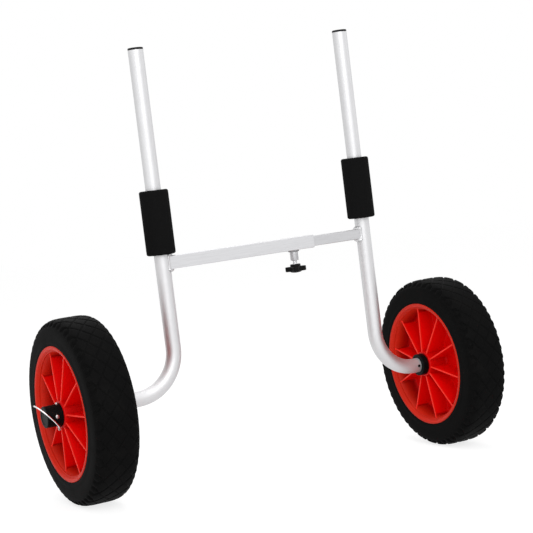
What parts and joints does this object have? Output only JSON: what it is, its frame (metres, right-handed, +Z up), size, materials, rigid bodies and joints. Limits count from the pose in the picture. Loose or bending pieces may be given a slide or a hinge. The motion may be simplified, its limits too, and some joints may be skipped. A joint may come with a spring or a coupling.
{
  "type": "kayak cart",
  "caption": "Scupper kayak cart: bent tube posts with foam sleeves, a telescoping crossbar locked by a clamp knob, and solid-tyred wheels held by lock pins.",
  "frame": {"origin": "middle of the bounding box, on the ground under the wheels", "axes": "+X along the crossbar to the side with the thinner inner bar, +Y to the back, away from the clamp's viewer, +Z up; the tubes lean 2.98 degrees to -X out of +Z, as the wheels' middles stand level"},
  "size_m": [0.8516, 0.2998, 0.7477],
  "materials": {
    "tube": "satin anodised round tube",
    "bar": "satin square tube",
    "weld": "rippled weld bead",
    "foam": "matt closed-cell foam",
    "cap": "moulded plastic end cap",
    "nylon": "moulded nylon",
    "knob": "moulded plastic star knob",
    "steel": "bright zinc-plated wire, pin and screw",
    "rim": "semi-gloss moulded plastic",
    "tyre": "satin black foam-rubber tread"
  },
  "bodies": {
    "left_frame": {"left_post_tube": "tube", "left_post_cap": "cap", "left_foam_sleeve": "foam", "left_axle_collar": "nylon", "left_axle_sleeve": "nylon", "left_sleeve_rivet": "steel", "left_stop_rivet": "nylon", "outer_crossbar": "bar", "left_crossbar_weld": "weld", "clamp_boss": "bar", "clamp_boss_weld": "weld"},
    "right_frame": {"right_post_tube": "tube", "right_post_cap": "cap", "right_foam_sleeve": "foam", "right_axle_collar": "nylon", "right_axle_sleeve": "nylon", "right_sleeve_rivet": "steel", "right_stop_rivet": "nylon", "inner_crossbar": "bar", "right_crossbar_weld": "weld"},
    "clamp_foot": {"clamp_pad": "nylon"},
    "clamp_handle": {"clamp_screw": "steel", "clamp_knob": "knob"},
    "left_wheel": {"left_wheel_rim": "rim", "left_tyre": "tyre"},
    "left_pin": {"left_lock_pin": "steel"},
    "left_bow": {"left_pin_bow": "steel"},
    "right_wheel": {"right_wheel_rim": "rim", "right_tyre": "tyre"},
    "right_pin": {"right_lock_pin": "steel"},
    "right_bow": {"right_pin_bow": "steel"}
  },
  "joints": [
    {"name": "bar_slide", "type": "slide", "parent": "left_frame", "child": "right_frame", "axis": [0.9986, 0, 0.052], "range_m": [-0.088, 0.09]},
    {"name": "clamp_turn", "type": "hinge", "parent": "clamp_foot", "child": "clamp_handle", "pos_m": [0.06176, 0, 0.36371], "axis": [0.052, 0, -0.9986], "range_deg": [0, 1080]},
    {"name": "clamp_feed", "type": "slide", "parent": "left_frame", "child": "clamp_foot", "axis": [0.052, 0, -0.9986], "range_m": [0, 0.004]},
    {"name": "left_wheel_spin", "type": "hinge", "parent": "left_frame", "child": "left_wheel", "pos_m": [-0.3454, 0, 0.15027], "axis": [0.9986, 0, 0.052], "continuous": true},
    {"name": "left_pin_pull", "type": "slide", "parent": "left_frame", "child": "left_pin", "axis": [0.052, 0, -0.9986], "range_m": [0, 0.038]},
    {"name": "left_bow_swing", "type": "hinge", "parent": "left_pin", "child": "left_bow", "pos_m": [-0.38547, 0, 0.12555], "axis": [0, -1, 0], "range_deg": [0, 135]},
    {"name": "right_wheel_spin", "type": "hinge", "parent": "right_frame", "child": "right_wheel", "pos_m": [0.34753, 0, 0.15027], "axis": [0.9986, 0, 0.052], "continuous": true},
    {"name": "right_pin_pull", "type": "slide", "parent": "right_frame", "child": "right_pin", "axis": [0.052, 0, -0.9986], "range_m": [0, 0.038]},
    {"name": "right_bow_swing", "type": "hinge", "parent": "right_pin", "child": "right_bow", "pos_m": [0.38995, 0, 0.12985], "axis": [0, 1, 0], "range_deg": [0, 135]}
  ],
  "couplings": [
    {"joint": "clamp_feed", "follows": "clamp_turn", "m_per_rad": 0.00019894}
  ]
}
